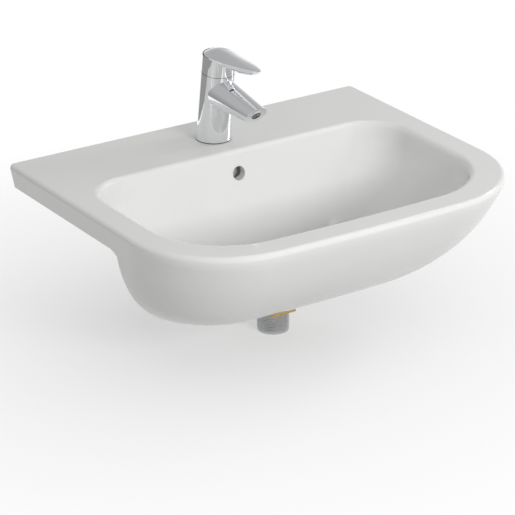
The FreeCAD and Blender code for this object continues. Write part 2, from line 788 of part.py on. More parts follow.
fixed_disc = new_piece("ceramic_disc_fixed", mixer_place, lean)
disc = new_sketch(fixed_disc, "disc_outline", "XY", (0, 0, size.disc_level))
circle(disc, size.chamber_radius - 0.3)
for x, y in ((-3.6, -4.0), (3.6, -4.0), (0, 0.6)):
    circle(disc, 1.4, x, y)
pad(fixed_disc, "disc", disc, 3)

moving_level = size.disc_level + 3.05
moving_disc = new_piece("ceramic_disc_moving", mixer_place, lean)
disc = new_sketch(moving_disc, "disc_outline", "XY", (0, 0, moving_level))
circle(disc, size.moving_radius)
pad(moving_disc, "disc", disc, 2.95)
recess = new_sketch(moving_disc, "mixing_recess_outline", "XY", (0, 0, moving_level))
circle(recess, 3.6, 0, 1.8)
pocket(moving_disc, "mixing_recess", recess, 1.4, backwards=True)

disc_carrier = new_piece("mixing_disc_carrier", mixer_place, lean)
ring_top = size.pivot_height - size.ball_drop - 0.3
block = new_sketch(disc_carrier, "block_outline", "XY", (0, 0, moving_level + 2.95))
circle(block, size.moving_radius)
pad(disc_carrier, "block", block, ring_top - moving_level - 2.95)
socket = new_sketch(disc_carrier, "ball_pocket_outline", "XY", (0, 0, ring_top))
circle(socket, size.ball_radius + 0.45)
pocket(disc_carrier, "ball_pocket", socket, size.ball_radius + 0.2)

retaining_nut = new_piece("cartridge_retaining_nut", mixer_place, lean)
nut = new_sketch(retaining_nut, "nut_outline", "XY", (0, 0, shoulder))
circle(nut, size.nut_radius)
circle(nut, size.neck_radius + 0.3)
pad(retaining_nut, "nut", nut, 8.3)
notches = new_sketch(retaining_nut, "notches_outline", "XY", (0, 0, shoulder + 8.3))
for turn in range(4):
    quarter = math.pi / 2 * turn
    outline(notches, [
        (x * round(math.cos(quarter)) - y * round(math.sin(quarter)),
         x * round(math.sin(quarter)) + y * round(math.cos(quarter)))
        for x, y in ((17, -1.6), (21, -1.6), (21, 1.6), (17, 1.6))
    ])
pocket(retaining_nut, "notches", notches, 2)

# spindle carrier: flange under the lip of the housing, tower, and two ears for the pin
spindle = new_piece("spindle_carrier", mixer_place, lean)
pivot = size.pivot_height
tower_top = pivot - 4
turned(spindle, "tower", [
    (0, lip_low - 1.4), (12.5, lip_low - 1.4), (12.5, lip_low - 0.3), (9.7, lip_low - 0.3),
    (9.7, tower_top), (0, tower_top),
])
ears = new_sketch(spindle, "ears_outline", "YZ")
ear = 3.5
outline(ears, [
    (-ear, tower_top - 0.5), (ear, tower_top - 0.5), (ear, pivot), (0, pivot + ear, ear), (-ear, pivot, ear),
])
ears_width = 16
pad(spindle, "ears", ears, ears_width, both_ways=True)
slot = new_sketch(spindle, "slot_outline", "YZ")
outline(slot, [(-9.2, lip_low - 3), (3.6, lip_low - 3), (3.6, pivot + 5), (-9.2, pivot + 5)])
pocket(spindle, "slot", slot, 6.8, both_ways=True)
pin_hole = new_sketch(spindle, "pin_hole_outline", "YZ")
circle(pin_hole, size.pin_radius, 0, pivot)
pocket(spindle, "pin_hole", pin_hole, ears_width + 4, both_ways=True)

pin = new_piece("lever_pivot_pin", mixer_place, lean)
pin_outline = new_sketch(pin, "pin_outline", "YZ")
circle(pin_outline, size.pin_radius, 0, pivot)
pad(pin, "pin", pin_outline, ears_width, both_ways=True)

# chromed shroud between the column and the lever
shroud = new_piece("swivel_shroud", mixer_place, lean)
low = size.column_height + size.seam
high = low + size.shroud_height
turned(shroud, "shroud", [
    (size.dome_radius - 0.8, low), (size.column_top - 0.2, low), (size.shroud_radius - 0.1, high - 0.4),
    (size.shroud_radius - 0.4, high), (size.dome_radius + 0.4, high), (size.dome_radius + 0.4, low + 2.6),
    (size.dome_radius - 0.8, low + 2.6),
])

# ---------------------------------------------------------------------------------------------
# The lever, about its pin: X right, Y back, Z up from the pin's middle
# ---------------------------------------------------------------------------------------------

pivot_place = (
    0, -size.tap_from_wall - pivot * lean_sine, foot_height + pivot * lean_cosine,
)
stem = new_piece("lever_stem", pivot_place, lean)
shaft = new_sketch(stem, "shaft_outline", "XY", (0, 0, -10))
half = size.stem_half_width
square = [(-half, -half), (half, -half), (half, half), (-half, half)]
outline(shaft, square)
pad(stem, "shaft", shaft, 21)
turned(stem, "ball", [
    (0, -size.ball_drop - size.ball_radius), (size.ball_radius, -size.ball_drop, size.ball_radius),
    (2, -size.ball_drop + 1.814, size.ball_radius), (2, -9.5), (0, -9.5),
])
pin_hole = new_sketch(stem, "pin_hole_outline", "YZ")
circle(pin_hole, size.pin_radius + 0.05)
pocket(stem, "pin_hole", pin_hole, 8, both_ways=True)

handle = new_piece("lever_handle", pivot_place)


def lever_section(name, share, wide, crest, edge, keel):
    """One upright outline across the blade at a share of its reach: crest, side edges and keel."""
    sketch = new_sketch(handle, name, "XZ", (0, 0, size.lever_reach * share))
    over, under = wide * 2.6, wide * 1.05
    outline(sketch, [(-wide, edge, over), (0, keel, under), (wide, edge, under), (0, crest, over)])
    return sketch


# share of the reach, half width, and the heights of crest, edge and keel above the pin
stations = (
    (-0.04, 19.0, 11.8, 5.6, 1.0), (0.06, 22.2, 12.2, 5.6, -3.0), (0.17, 21.2, 11.8, 5.5, -5.0),
    (0.30, 19.4, 11.2, 5.6, -5.5), (0.42, 17.4, 10.8, 6.1, -5.5), (0.54, 15.2, 10.4, 6.8, -5.3),
    (0.66, 12.7, 10.0, 7.5, -4.3), (0.77, 9.9, 9.55, 8.0, -2.2), (0.86, 7.3, 9.2, 8.3, 0.9),
    (0.93, 4.9, 8.9, 8.45, 4.3), (0.97, 2.9, 8.7, 8.5, 6.6), (0.99, 1.5, 8.6, 8.5, 7.8),
)
blade = [lever_section(f"blade_{number}", *station) for number, station in enumerate(stations)]
add_feature(handle, "AdditiveLoft", "blade", Profile=blade[0], Sections=blade[1:])

# room for the shroud under the root of the blade
shroud_top = size.column_height + size.seam + size.shroud_height
above_pin = shroud_top + size.seam - pivot
room_place = (0, -above_pin * lean_sine, above_pin * lean_cosine)
room = new_sketch(handle, "shroud_room_outline", "XY", room_place, lean)
circle(room, size.shroud_radius + 1.2)
pocket(handle, "shroud_room", room, 30)

# the dome is a ball about the pin, so that it turns inside the shroud
dome = size.dome_radius
foot_width = (dome ** 2 - size.dome_low ** 2) ** 0.5
shoulder_width = (dome ** 2 - size.dome_shoulder ** 2) ** 0.5
turned(handle, "dome", [
    (0, -size.dome_low), (foot_width, -size.dome_low), (shoulder_width, size.dome_shoulder, dome),
    (0, size.dome_top, crown_radius(shoulder_width, size.dome_top - size.dome_shoulder)),
])

# the lower rim of the dome rises to the rear, to clear the cartridge when the lever is up
rim = new_sketch(handle, "lower_rim_outline", "YZ")
outline(rim, [(-24, -size.dome_low), (-24, -20), (24, -20), (24, -0.2)])
pocket(handle, "lower_rim", rim, dome * 3, both_ways=True)
cavity = new_sketch(handle, "cavity_outline", "XY", (0, 0, 4.6))
circle(cavity, dome - 2.4)
pocket(handle, "cavity", cavity, 20)
socket = new_sketch(handle, "stem_socket_outline", "XY", (0, -11 * lean_sine, 11 * lean_cosine), lean)
outline(socket, square)
pocket(handle, "stem_socket", socket, 12)

# a hole from the rear of the dome takes the grub screw that holds the handle on its stem
grub_tilt = 8
grub_start = (3.0, 7.4)
hole = new_sketch(handle, "grub_hole_outline", "XZ", (0, grub_start[1], -grub_start[0]), grub_tilt)
circle(hole, size.grub_radius + 0.1)
pocket(handle, "grub_hole", hole, 20)

grub_place = (pivot_place[0], pivot_place[1] + grub_start[0], pivot_place[2] + grub_start[1])
grub = new_piece("grub_screw", grub_place, grub_tilt - 90)
thread = new_sketch(grub, "thread_outline", "XY", (0, 0, 0.4))
circle(thread, size.grub_radius)
pad(grub, "thread", thread, size.grub_length)
key = new_sketch(grub, "key_outline", "XY", (0, 0, size.grub_length + 0.4))
hexagon(key, size.grub_key)
pocket(grub, "key", key, 1.8)

# the plug's outer end is cut to the slope of the dome, so that it lies flush
plug = new_piece("index_plug", grub_place, grub_tilt - 90)
peg = new_sketch(plug, "peg_outline", "XY", (0, 0, 8))
circle(peg, size.grub_radius + 0.05)
pad(plug, "peg", peg, 8)
slope = new_sketch(plug, "slope_outline", "YZ")
outline(slope, [(-3, 7.6), (3, 17.4), (-3, 17.4)])
pocket(plug, "slope", slope, 8, both_ways=True)

# ---------------------------------------------------------------------------------------------
# The waste, about the middle of the waste hole
# ---------------------------------------------------------------------------------------------

waste_place = (0, -size.waste_from_wall, 0)
seat_level = -size.bowl_floor - size.seat_depth
flange_seal_top = seat_level + 2
tail_end = -size.tail_end
washer_low = -size.boss_bottom - size.washer_thickness
slip_low = washer_low - size.slip_thickness
backnut_low = slip_low - size.backnut_height
upper_thread = size.tail_radius - 0.25

flange_seal = new_piece("flange_seal", waste_place)
ring(flange_seal, "seal", size.flange_radius, upper_thread + 1, seat_level, flange_seal_top)

waste = new_piece("waste_body", waste_place)
flange_top = flange_seal_top + size.flange_thickness
turned(waste, "body", [
    (size.tail_bore, tail_end), (size.tail_radius, tail_end), (size.tail_radius, backnut_low - 0.5),
    (upper_thread, backnut_low - 0.5), (upper_thread, flange_seal_top),
    (size.flange_radius, flange_seal_top), (size.flange_radius, flange_top - 1.1),
    (size.flange_radius - 3, flange_top), (size.tail_bore + 1.8, flange_top),
    (size.tail_bore, flange_top - 4),
])
# four slots take in the water from the overflow duct
slot_half = size.tail_slot_half
for name, plane in (("slots", "XZ"), ("side_slots", "YZ")):
    slots = new_sketch(waste, f"{name}_outline", plane)
    outline(slots, [
        (-slot_half, -size.tail_slot_low), (slot_half, -size.tail_slot_low),
        (slot_half, -size.tail_slot_high), (-slot_half, -size.tail_slot_high),
    ])
    pocket(waste, name, slots, size.flange_radius * 2, both_ways=True)

# a spider of three ribs holds the boss for the plunger's guide
boss = new_sketch(waste, "spider_boss_outline", "XY", (0, 0, -size.spider_low))
circle(boss, size.guide_radius + 2.8)
rib_half = 1.5
for turn in range(3):
    angle = math.pi / 2 + 2 * math.pi / 3 * turn
    across = (math.cos(angle), math.sin(angle))
    rib = new_sketch(waste, f"rib_{turn + 1}_outline", "XY", (0, 0, -size.spider_low))
    outline(rib, [
        (across[0] * reach - across[1] * side, across[1] * reach + across[0] * side)
        for reach, side in ((5, -rib_half), (19, -rib_half), (19, rib_half), (5, rib_half))
    ])
    pad(waste, f"rib_{turn + 1}", rib, size.spider_height)
pad(waste, "spider_boss", boss, size.spider_height)
hole = new_sketch(waste, "guide_hole_outline", "XY", (0, 0, -size.spider_low))
circle(hole, size.guide_radius + 0.05)
pocket(waste, "guide_hole", hole, size.spider_height, backwards=True)

lower_seal = new_piece("lower_seal", waste_place)
ring(lower_seal, "seal", size.boss_radius - 1, upper_thread + slack, washer_low, -size.boss_bottom)
slip_washer = new_piece("slip_washer", waste_place)
ring(slip_washer, "washer", size.boss_radius - 1.5, upper_thread + 0.1, slip_low, washer_low)
backnut = new_piece("waste_backnut", waste_place)
nut = new_sketch(backnut, "nut_outline", "XY", (0, 0, backnut_low))
hexagon(nut, size.backnut_flats)
circle(nut, upper_thread + slack)
pad(backnut, "nut", nut, size.backnut_height)

guide = new_piece("plunger_guide", waste_place)
collar_low = size.spider_height - size.spider_low
bore_low = 2 - size.guide_low
turned(guide, "guide", [
    (0, -size.guide_low), (size.guide_radius, -size.guide_low), (size.guide_radius, collar_low),
    (size.guide_radius + 1.8, collar_low), (size.guide_radius + 1.8, collar_low + 2),
    (size.guide_radius, collar_low + 2), (size.guide_radius, -size.guide_high),
    (size.guide_bore, -size.guide_high), (size.guide_bore, bore_low), (0, bore_low),
])
spring = new_piece("plunger_spring", waste_place)
ring(spring, "sleeve", size.guide_bore - 0.4, size.guide_bore - 1.6, bore_low, -size.spring_high)

plug_stem = new_piece("plug_stem", waste_place)
rim_low = seat_level + 12
stem_radius = size.guide_bore - 0.4
turned(plug_stem, "stem", [
    (0, -size.spring_high), (stem_radius - 0.5, -size.spring_high), (stem_radius, 0.5 - size.spring_high),
    (stem_radius, rim_low - 4), (9, rim_low), (9, rim_low + 1.5), (0, rim_low + 1.5),
])
cap = new_piece("plug_cap", waste_place)
seal_bore = 19.8
turned(cap, "cap", [
    (0, rim_low + 1.5), (seal_bore, rim_low + 1.5), (seal_bore, rim_low), (size.cap_radius - 1.2, rim_low),
    (size.cap_radius, rim_low + 1.2), (size.cap_radius - 1.2, rim_low + 2.2),
    (size.cap_radius - 10, rim_low + 4), (0, rim_low + 4.8),
])
plug_seal = new_piece("plug_seal", waste_place)
turned(plug_seal, "seal", [
    (seal_bore, rim_low), (seal_bore, rim_low - 0.4), (23.5, rim_low - 0.4), (24.5, rim_low),
])

document.recompute()
os.makedirs("parts", exist_ok=True)
for item in document.Objects:
    if "Invalid" in item.State or "Error" in item.State:
        raise RuntimeError(f"{item.Label} failed: {item.State}")
bodies = [item for item in document.Objects if item.isDerivedFrom("PartDesign::Body")]
for body in bodies:
    if body.Shape.isNull() or not body.Shape.isValid():
        raise RuntimeError(f"{body.Label} has no valid shape")
for body in bodies:
    body.Shape.exportStep(os.path.join("parts", f"{body.Label}.step"))
print(len(bodies), "pieces written")
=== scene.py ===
import math

import bpy
from mathutils import Matrix, Vector


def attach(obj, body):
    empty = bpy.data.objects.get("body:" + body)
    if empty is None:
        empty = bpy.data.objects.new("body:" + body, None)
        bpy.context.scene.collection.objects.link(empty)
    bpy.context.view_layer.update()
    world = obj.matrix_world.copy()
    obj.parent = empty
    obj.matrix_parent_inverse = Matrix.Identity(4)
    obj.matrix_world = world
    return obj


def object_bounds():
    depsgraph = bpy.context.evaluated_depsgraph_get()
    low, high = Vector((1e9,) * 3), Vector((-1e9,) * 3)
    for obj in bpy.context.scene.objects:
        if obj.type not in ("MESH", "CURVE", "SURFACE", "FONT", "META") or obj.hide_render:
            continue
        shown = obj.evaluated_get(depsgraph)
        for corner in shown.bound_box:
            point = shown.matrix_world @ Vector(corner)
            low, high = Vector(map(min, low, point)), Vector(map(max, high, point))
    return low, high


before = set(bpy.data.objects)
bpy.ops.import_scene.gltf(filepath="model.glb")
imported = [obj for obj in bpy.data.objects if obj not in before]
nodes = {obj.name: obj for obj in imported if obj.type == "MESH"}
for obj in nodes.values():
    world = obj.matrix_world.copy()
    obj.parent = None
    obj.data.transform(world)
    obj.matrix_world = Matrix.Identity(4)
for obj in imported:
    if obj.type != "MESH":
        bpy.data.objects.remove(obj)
cad_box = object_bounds()


# ---------------------------------------------------------------------------------------------
# The photographer's camera
# A long lens stands to the left of the basin and well above the rim, about three and a half
# metres away, so that the lines hardly draw together. The picture is square.
# ---------------------------------------------------------------------------------------------

turn, height, roll = (math.radians(angle) for angle in (-33.286, 23.368, -0.184))
back = Vector((
    math.sin(turn) * math.cos(height), -math.cos(turn) * math.cos(height), math.sin(height)
))
right = Vector((math.cos(turn), math.sin(turn), 0))
up = back.cross(right)
lens = bpy.data.cameras.new("long lens")
lens.sensor_width = 36
lens.lens = 192.46
lens.clip_end = 30
camera = bpy.data.objects.new("camera", lens)
bpy.context.collection.objects.link(camera)
camera.matrix_world = Matrix.Translation((-1.8462, -2.9896, 1.3495)) @ Matrix((
    math.cos(roll) * right + math.sin(roll) * up,
    math.cos(roll) * up - math.sin(roll) * right,
    back,
)).transposed().to_4x4()
bpy.context.scene.camera = camera
bpy.context.scene.view_settings.view_transform = "Standard"


# ---------------------------------------------------------------------------------------------
# The basin
# One piece of vitreous china, slip cast in plaster, sprayed with white glaze and fired once.
# The rear face and the foot of the rim are ground flat after firing, which leaves them bare.
# ---------------------------------------------------------------------------------------------


def linear(colour):
    """An sRGB hex colour as the linear values that a shader takes."""
    channels = [int(colour[start:start + 2], 16) / 255 for start in (1, 3, 5)]
    return [c / 12.92 if c <= 0.04045 else ((c + 0.055) / 1.055) ** 2.4 for c in channels] + [1]


def add_node(tree, kind, settings):
    """Adds a node. A setting is one of its properties or sockets, and an output is linked to it."""
    item = tree.nodes.new(kind)
    for name, value in settings.items():
        if isinstance(value, bpy.types.NodeSocket):
            tree.links.new(value, item.inputs[name])
        elif isinstance(name, str) and hasattr(item, name):
            setattr(item, name, value)
        else:
            item.inputs[name].default_value = value
    return item


def new_material(name):
    """An empty material, its node tree, and the place of the point that is shaded, in metres."""
    material = bpy.data.materials.new(name)
    material.use_nodes = True
    tree = material.node_tree
    tree.nodes.clear()
    return material, tree, add_node(tree, "ShaderNodeTexCoord", {}).outputs["Object"]


def dress(material, tree, surface, *names):
    """Closes the material with its surface settings and gives it to the parts of these names."""
    shader = add_node(tree, "ShaderNodeBsdfPrincipled", surface)
    add_node(tree, "ShaderNodeOutputMaterial", {"Surface": shader.outputs[0]})
    for name in names:
        mesh = nodes[name].data
        mesh.materials.clear()
        mesh.materials.append(material)


# vitreous china, sprayed glaze: a clear glass skin on a white body gives sharp reflections, bent a
# little by the roll of the glaze (35 mm) and by its orange peel (2 mm)
china, tree, place = new_material("vitreous china, white glaze")
roll_of_glaze = add_node(tree, "ShaderNodeTexNoise", {"Vector": place, "Scale": 1 / 0.035, "Detail": 1})
peel = add_node(tree, "ShaderNodeTexNoise", {"Vector": place, "Scale": 1 / 0.002, "Detail": 1})
rolled = add_node(
    tree, "ShaderNodeBump", {"Strength": 0.3, "Distance": 0.00012, "Height": roll_of_glaze.outputs[0]}
)
peeled = add_node(tree, "ShaderNodeBump", {
    "Strength": 0.25, "Distance": 0.000004, "Height": peel.outputs[0], "Normal": rolled.outputs[0],
})
# the spray lies a shade thicker in some places than in others
cloud = add_node(tree, "ShaderNodeTexNoise", {"Vector": place, "Scale": 1 / 0.09, "Detail": 3})
glaze = add_node(tree, "ShaderNodeMixRGB", {
    "Fac": cloud.outputs[0], "Color1": linear("#E4E4E2"), "Color2": linear("#DFDFDE"),
})
# the ground faces: the rear one lies on the wall's plane, the other on the worktop's, and both are
# told from the glaze by lying within half a millimetre of it
flatness = 0.0004
where = add_node(tree, "ShaderNodeSeparateXYZ", {"Vector": place})
facing = add_node(tree, "ShaderNodeNewGeometry", {})
facing = add_node(tree, "ShaderNodeSeparateXYZ", {"Vector": facing.outputs["True Normal"]})
at_wall = add_node(
    tree, "ShaderNodeMath", {"operation": "GREATER_THAN", 0: where.outputs["Y"], 1: -flatness}
)
at_worktop = add_node(
    tree, "ShaderNodeMath", {"operation": "COMPARE", 0: where.outputs["Z"], 1: 0.0, 2: flatness}
)
downward = add_node(tree, "ShaderNodeMath", {"operation": "LESS_THAN", 0: facing.outputs["Z"], 1: -0.9})
at_worktop = add_node(
    tree, "ShaderNodeMath", {"operation": "MULTIPLY", 0: at_worktop.outputs[0], 1: downward.outputs[0]}
)
ground = add_node(
    tree, "ShaderNodeMath", {"operation": "MAXIMUM", 0: at_wall.outputs[0], 1: at_worktop.outputs[0]}
)
grit = add_node(tree, "ShaderNodeTexNoise", {"Vector": place, "Scale": 1 / 0.0012, "Detail": 4})
biscuit = add_node(tree, "ShaderNodeMixRGB", {
    "Fac": grit.outputs[0], "Color1": linear("#EAE4D6"), "Color2": linear("#D2CAB8"),
})
china_colour = add_node(tree, "ShaderNodeMixRGB", {
    "Fac": ground.outputs[0], "Color1": glaze.outputs[0], "Color2": biscuit.outputs[0],
})
china_gloss = add_node(
    tree, "ShaderNodeMapRange", {"Value": ground.outputs[0], "To Min": 0.05, "To Max": 0.8}
)
dress(china, tree, {
    "Base Color": china_colour.outputs[0], "Roughness": china_gloss.outputs[0], "IOR": 1.5,
    "Normal": peeled.outputs[0],
}, "basin")


# ---------------------------------------------------------------------------------------------
# The rings and gaskets
# A thin moulded ring of dark EPDM rubber is pressed between the mixer's foot and the glaze. The
# other seals of the mixer and the waste are moulded from the same rubber.
# ---------------------------------------------------------------------------------------------

# moulded EPDM rubber: matt, nearly black, with the fine grain of the mould and a grey bloom
rubber, tree, place = new_material("EPDM rubber, moulded")
bloom = add_node(tree, "ShaderNodeTexNoise", {"Vector": place, "Scale": 1 / 0.012, "Detail": 4})
grain = add_node(tree, "ShaderNodeTexNoise", {"Vector": place, "Scale": 1 / 0.0004, "Detail": 2})
grained = add_node(tree, "ShaderNodeBump", {
    "Strength": 0.4, "Distance": 0.00003, "Height": grain.outputs[0],
})
rubber_colour = add_node(tree, "ShaderNodeMixRGB", {
    "Fac": bloom.outputs[0], "Color1": linear("#232324"), "Color2": linear("#39393A"),
})
rubber_gloss = add_node(
    tree, "ShaderNodeMapRange", {"Value": bloom.outputs[0], "To Min": 0.45, "To Max": 0.7}
)
dress(rubber, tree, {
    "Base Color": rubber_colour.outputs[0], "Roughness": rubber_gloss.outputs[0],
    "Normal": grained.outputs[0],
}, "base_seal", "horseshoe_gasket", "aerator_seal", "cartridge_base_seals", "flange_seal",
    "lower_seal", "plug_seal")


# ---------------------------------------------------------------------------------------------
# The mixer's body
# Column and spout are one brass casting, ground, polished and plated with nickel and chromium.
# The plating doesn't reach into the cartridge's chamber or under the foot, where brass shows.
# ---------------------------------------------------------------------------------------------

foot = Vector((0, -0.072, 0.0339))
lean = math.radians(7)
column_axis = Vector((0, -math.sin(lean), math.cos(lean)))
chamber_radius, chamber_floor = 0.0205, 0.077
chromium, bare_brass = linear("#F7F8FA"), linear("#CDAF6A")


def plating(tree, place):
    """The roughness and the normal of polished plate: a bright mirror with a faint polisher's wave."""
    wipe = add_node(tree, "ShaderNodeTexNoise", {"Vector": place, "Scale": 1 / 0.02, "Detail": 5})
    gloss = add_node(
        tree, "ShaderNodeMapRange", {"Value": wipe.outputs[0], "To Min": 0.02, "To Max": 0.06}
    )
    wave = add_node(tree, "ShaderNodeTexNoise", {"Vector": place, "Scale": 1 / 0.011, "Detail": 1})
    waved = add_node(tree, "ShaderNodeBump", {
        "Strength": 0.5, "Distance": 0.00002, "Height": wave.outputs[0],
    })
    return gloss.outputs[0], waved.outputs[0]


def turned_lines(tree, place, centre, pitch):
    """The height of a lathe's feed marks about an upright axis, on the sides and on the faces."""
    moved = add_node(tree, "ShaderNodeVectorMath", {"operation": "SUBTRACT", 0: place, 1: centre})
    parts = add_node(tree, "ShaderNodeSeparateXYZ", {"Vector": moved.outputs[0]})
    flat = add_node(tree, "ShaderNodeVectorMath", {
        "operation": "MULTIPLY", 0: moved.outputs[0], 1: (1, 1, 0),
    })
    reach = add_node(tree, "ShaderNodeVectorMath", {"operation": "LENGTH", 0: flat.outputs[0]})
    along = add_node(
        tree, "ShaderNodeMath", {"operation": "ADD", 0: parts.outputs["Z"], 1: reach.outputs["Value"]}
    )
    ridges = add_node(
        tree, "ShaderNodeMath", {"operation": "PINGPONG", 0: along.outputs[0], 1: pitch / 2}
    )
    evened = add_node(
        tree, "ShaderNodeMath", {"operation": "MULTIPLY", 0: ridges.outputs[0], 1: 2 / pitch}
    )
    return evened.outputs[0]


# chromium over polished brass: the colour is even and cold, nearly all of it reflections
chrome, tree, place = new_material("chromed brass, polished")
gloss, waved = plating(tree, place)
from_foot = add_node(tree, "ShaderNodeVectorMath", {"operation": "SUBTRACT", 0: place, 1: foot})
rise = add_node(tree, "ShaderNodeVectorMath", {
    "operation": "DOT_PRODUCT", 0: from_foot.outputs[0], 1: column_axis,
})
off_axis = add_node(tree, "ShaderNodeVectorMath", {
    "operation": "CROSS_PRODUCT", 0: from_foot.outputs[0], 1: column_axis,
})
off_axis = add_node(tree, "ShaderNodeVectorMath", {"operation": "LENGTH", 0: off_axis.outputs[0]})
near_axis = add_node(
    tree, "ShaderNodeMath", {"operation": "LESS_THAN", 0: off_axis.outputs["Value"], 1: chamber_radius}
)
over_chamber_floor = add_node(
    tree, "ShaderNodeMath", {"operation": "GREATER_THAN", 0: rise.outputs["Value"], 1: chamber_floor}
)
in_chamber = add_node(tree, "ShaderNodeMath", {
    "operation": "MULTIPLY", 0: near_axis.outputs[0], 1: over_chamber_floor.outputs[0],
})
where = add_node(tree, "ShaderNodeSeparateXYZ", {"Vector": place})
under_foot = add_node(
    tree, "ShaderNodeMath", {"operation": "LESS_THAN", 0: where.outputs["Z"], 1: foot.z + 0.0001}
)
bare = add_node(
    tree, "ShaderNodeMath", {"operation": "MAXIMUM", 0: in_chamber.outputs[0], 1: under_foot.outputs[0]}
)
body_colour = add_node(tree, "ShaderNodeMixRGB", {
    "Fac": bare.outputs[0], "Color1": chromium, "Color2": bare_brass,
})
body_gloss = add_node(
    tree, "ShaderNodeMapRange", {"Value": bare.outputs[0], "To Min": gloss, "To Max": 0.32}
)
dress(chrome, tree, {
    "Base Color": body_colour.outputs[0], "Metallic": 1, "Roughness": body_gloss.outputs[0],
    "Normal": waved,
}, "mixer_body")


# ---------------------------------------------------------------------------------------------
# The fixings under the deck
# A threaded brass stud screws into the foot. A rubber and a steel horseshoe and a long brass nut
# on the stud clamp the mixer to the china.
# ---------------------------------------------------------------------------------------------

# zinc-plated steel, pressed plate: grey with a cool cast, cloudy and half gloss
steel, tree, place = new_material("zinc-plated steel")
spangle = add_node(tree, "ShaderNodeTexVoronoi", {"Vector": place, "Scale": 1 / 0.0016})
cloud = add_node(tree, "ShaderNodeTexNoise", {"Vector": place, "Scale": 1 / 0.006, "Detail": 4})
steel_colour = add_node(tree, "ShaderNodeMixRGB", {
    "Fac": cloud.outputs[0], "Color1": linear("#C4C7C9"), "Color2": linear("#9EA3A8"),
})
steel_gloss = add_node(
    tree, "ShaderNodeMapRange", {"Value": spangle.outputs["Distance"], "To Min": 0.2, "To Max": 0.42}
)
pressed = add_node(tree, "ShaderNodeBump", {
    "Strength": 0.3, "Distance": 0.00002, "Height": spangle.outputs["Distance"],
})
dress(steel, tree, {
    "Base Color": steel_colour.outputs[0], "Metallic": 1, "Roughness": steel_gloss.outputs[0],
    "Normal": pressed.outputs[0],
}, "horseshoe_washer")

# turned brass: warm yellow, with feed marks round the axis of each piece. The real marks are
# 0.15 mm apart, too fine to show, so they are drawn at 0.5 mm
feed = 0.0005
stud_axis, cartridge_axis, waste_axis = (0, -0.084, 0), (0, -0.088, 0), (0, -0.215, 0)
for name, centre, owners in (
    ("turned brass, waste", waste_axis, ["waste_backnut", "plug_stem", "plunger_guide"]),
    ("turned brass, cartridge nut", cartridge_axis, ["cartridge_retaining_nut"]),
    ("turned brass, stud and nut", stud_axis, ["clamp_nut", "fixing_stud"]),
):
    brass, tree, place = new_material(name)
    lines = turned_lines(tree, place, centre, feed)
    tarnish = add_node(tree, "ShaderNodeTexNoise", {"Vector": place, "Scale": 1 / 0.008, "Detail": 5})
    brass_colour = add_node(tree, "ShaderNodeMixRGB", {
        "Fac": tarnish.outputs[0], "Color1": linear("#D6B978"), "Color2": linear("#B3924F"),
    })
    brass_gloss = add_node(
        tree, "ShaderNodeMapRange", {"Value": tarnish.outputs[0], "To Min": 0.2, "To Max": 0.4}
    )
    cut = add_node(tree, "ShaderNodeBump", {"Strength": 0.5, "Distance": 0.00004, "Height": lines})
    dress(brass, tree, {
        "Base Color": brass_colour.outputs[0], "Metallic": 1, "Roughness": brass_gloss.outputs[0],
        "Normal": cut.outputs[0],
    }, *owners)


def screw_thread(name, centre, radius, tall, pitch, low, high, surface):
    """The ridge of a thread round an upright stud: one strip with a flat crest, faded at both ends."""
    steps = 48
    count = int((high - low) / pitch * steps)
    root = radius - 0.1 * tall
    points, faces = [], []
    for step in range(count + 1):
        angle = 2 * math.pi * step / steps
        level = low + (high - low) * step / count
        crest = radius + tall * min(1, step / steps, (count - step) / steps)
        for reach, turns in ((root, -0.46), (crest, -0.08), (crest, 0.08), (root, 0.46)):
            points.append((
                centre[0] + reach * math.cos(angle),
                centre[1] + reach * math.sin(angle),
                level + turns * pitch,
            ))
        if step:
            for side in range(4):
                first, other = 4 * step - 4 + side, 4 * step - 4 + (side + 1) % 4
                faces.append((first, other, other + 4, first + 4))
    faces += [(0, 1, 2, 3), (4 * count + 3, 4 * count + 2, 4 * count + 1, 4 * count)]
    mesh = bpy.data.meshes.new(name)
    mesh.from_pydata(points, [], faces)
    mesh.materials.append(surface)
    piece = bpy.data.objects.new(name, mesh)
    bpy.context.collection.objects.link(piece)
    return piece


# the stud is an M8 of 1.25 mm pitch, and shows below its nut
stud_thread = screw_thread(
    "stud_thread", stud_axis, radius=0.004, tall=0.0003, pitch=0.00125, low=-0.0153, high=-0.0012,
    surface=brass,
)
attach(stud_thread, "fixed")


# ---------------------------------------------------------------------------------------------
# The aerator
# A chromed sleeve screwed into the spout's end holds a moulded insert of grey acetal, whose holes
# and fine ribs mix air into the water.
# ---------------------------------------------------------------------------------------------

# chromium on the smaller turned and cast pieces: the same mirror without any bare brass
plate, tree, place = new_material("chromium plate, polished")
gloss, waved = plating(tree, place)
dress(plate, tree, {
    "Base Color": chromium, "Metallic": 1, "Roughness": gloss, "Normal": waved,
}, "aerator_housing", "swivel_shroud", "lever_handle", "plug_cap")

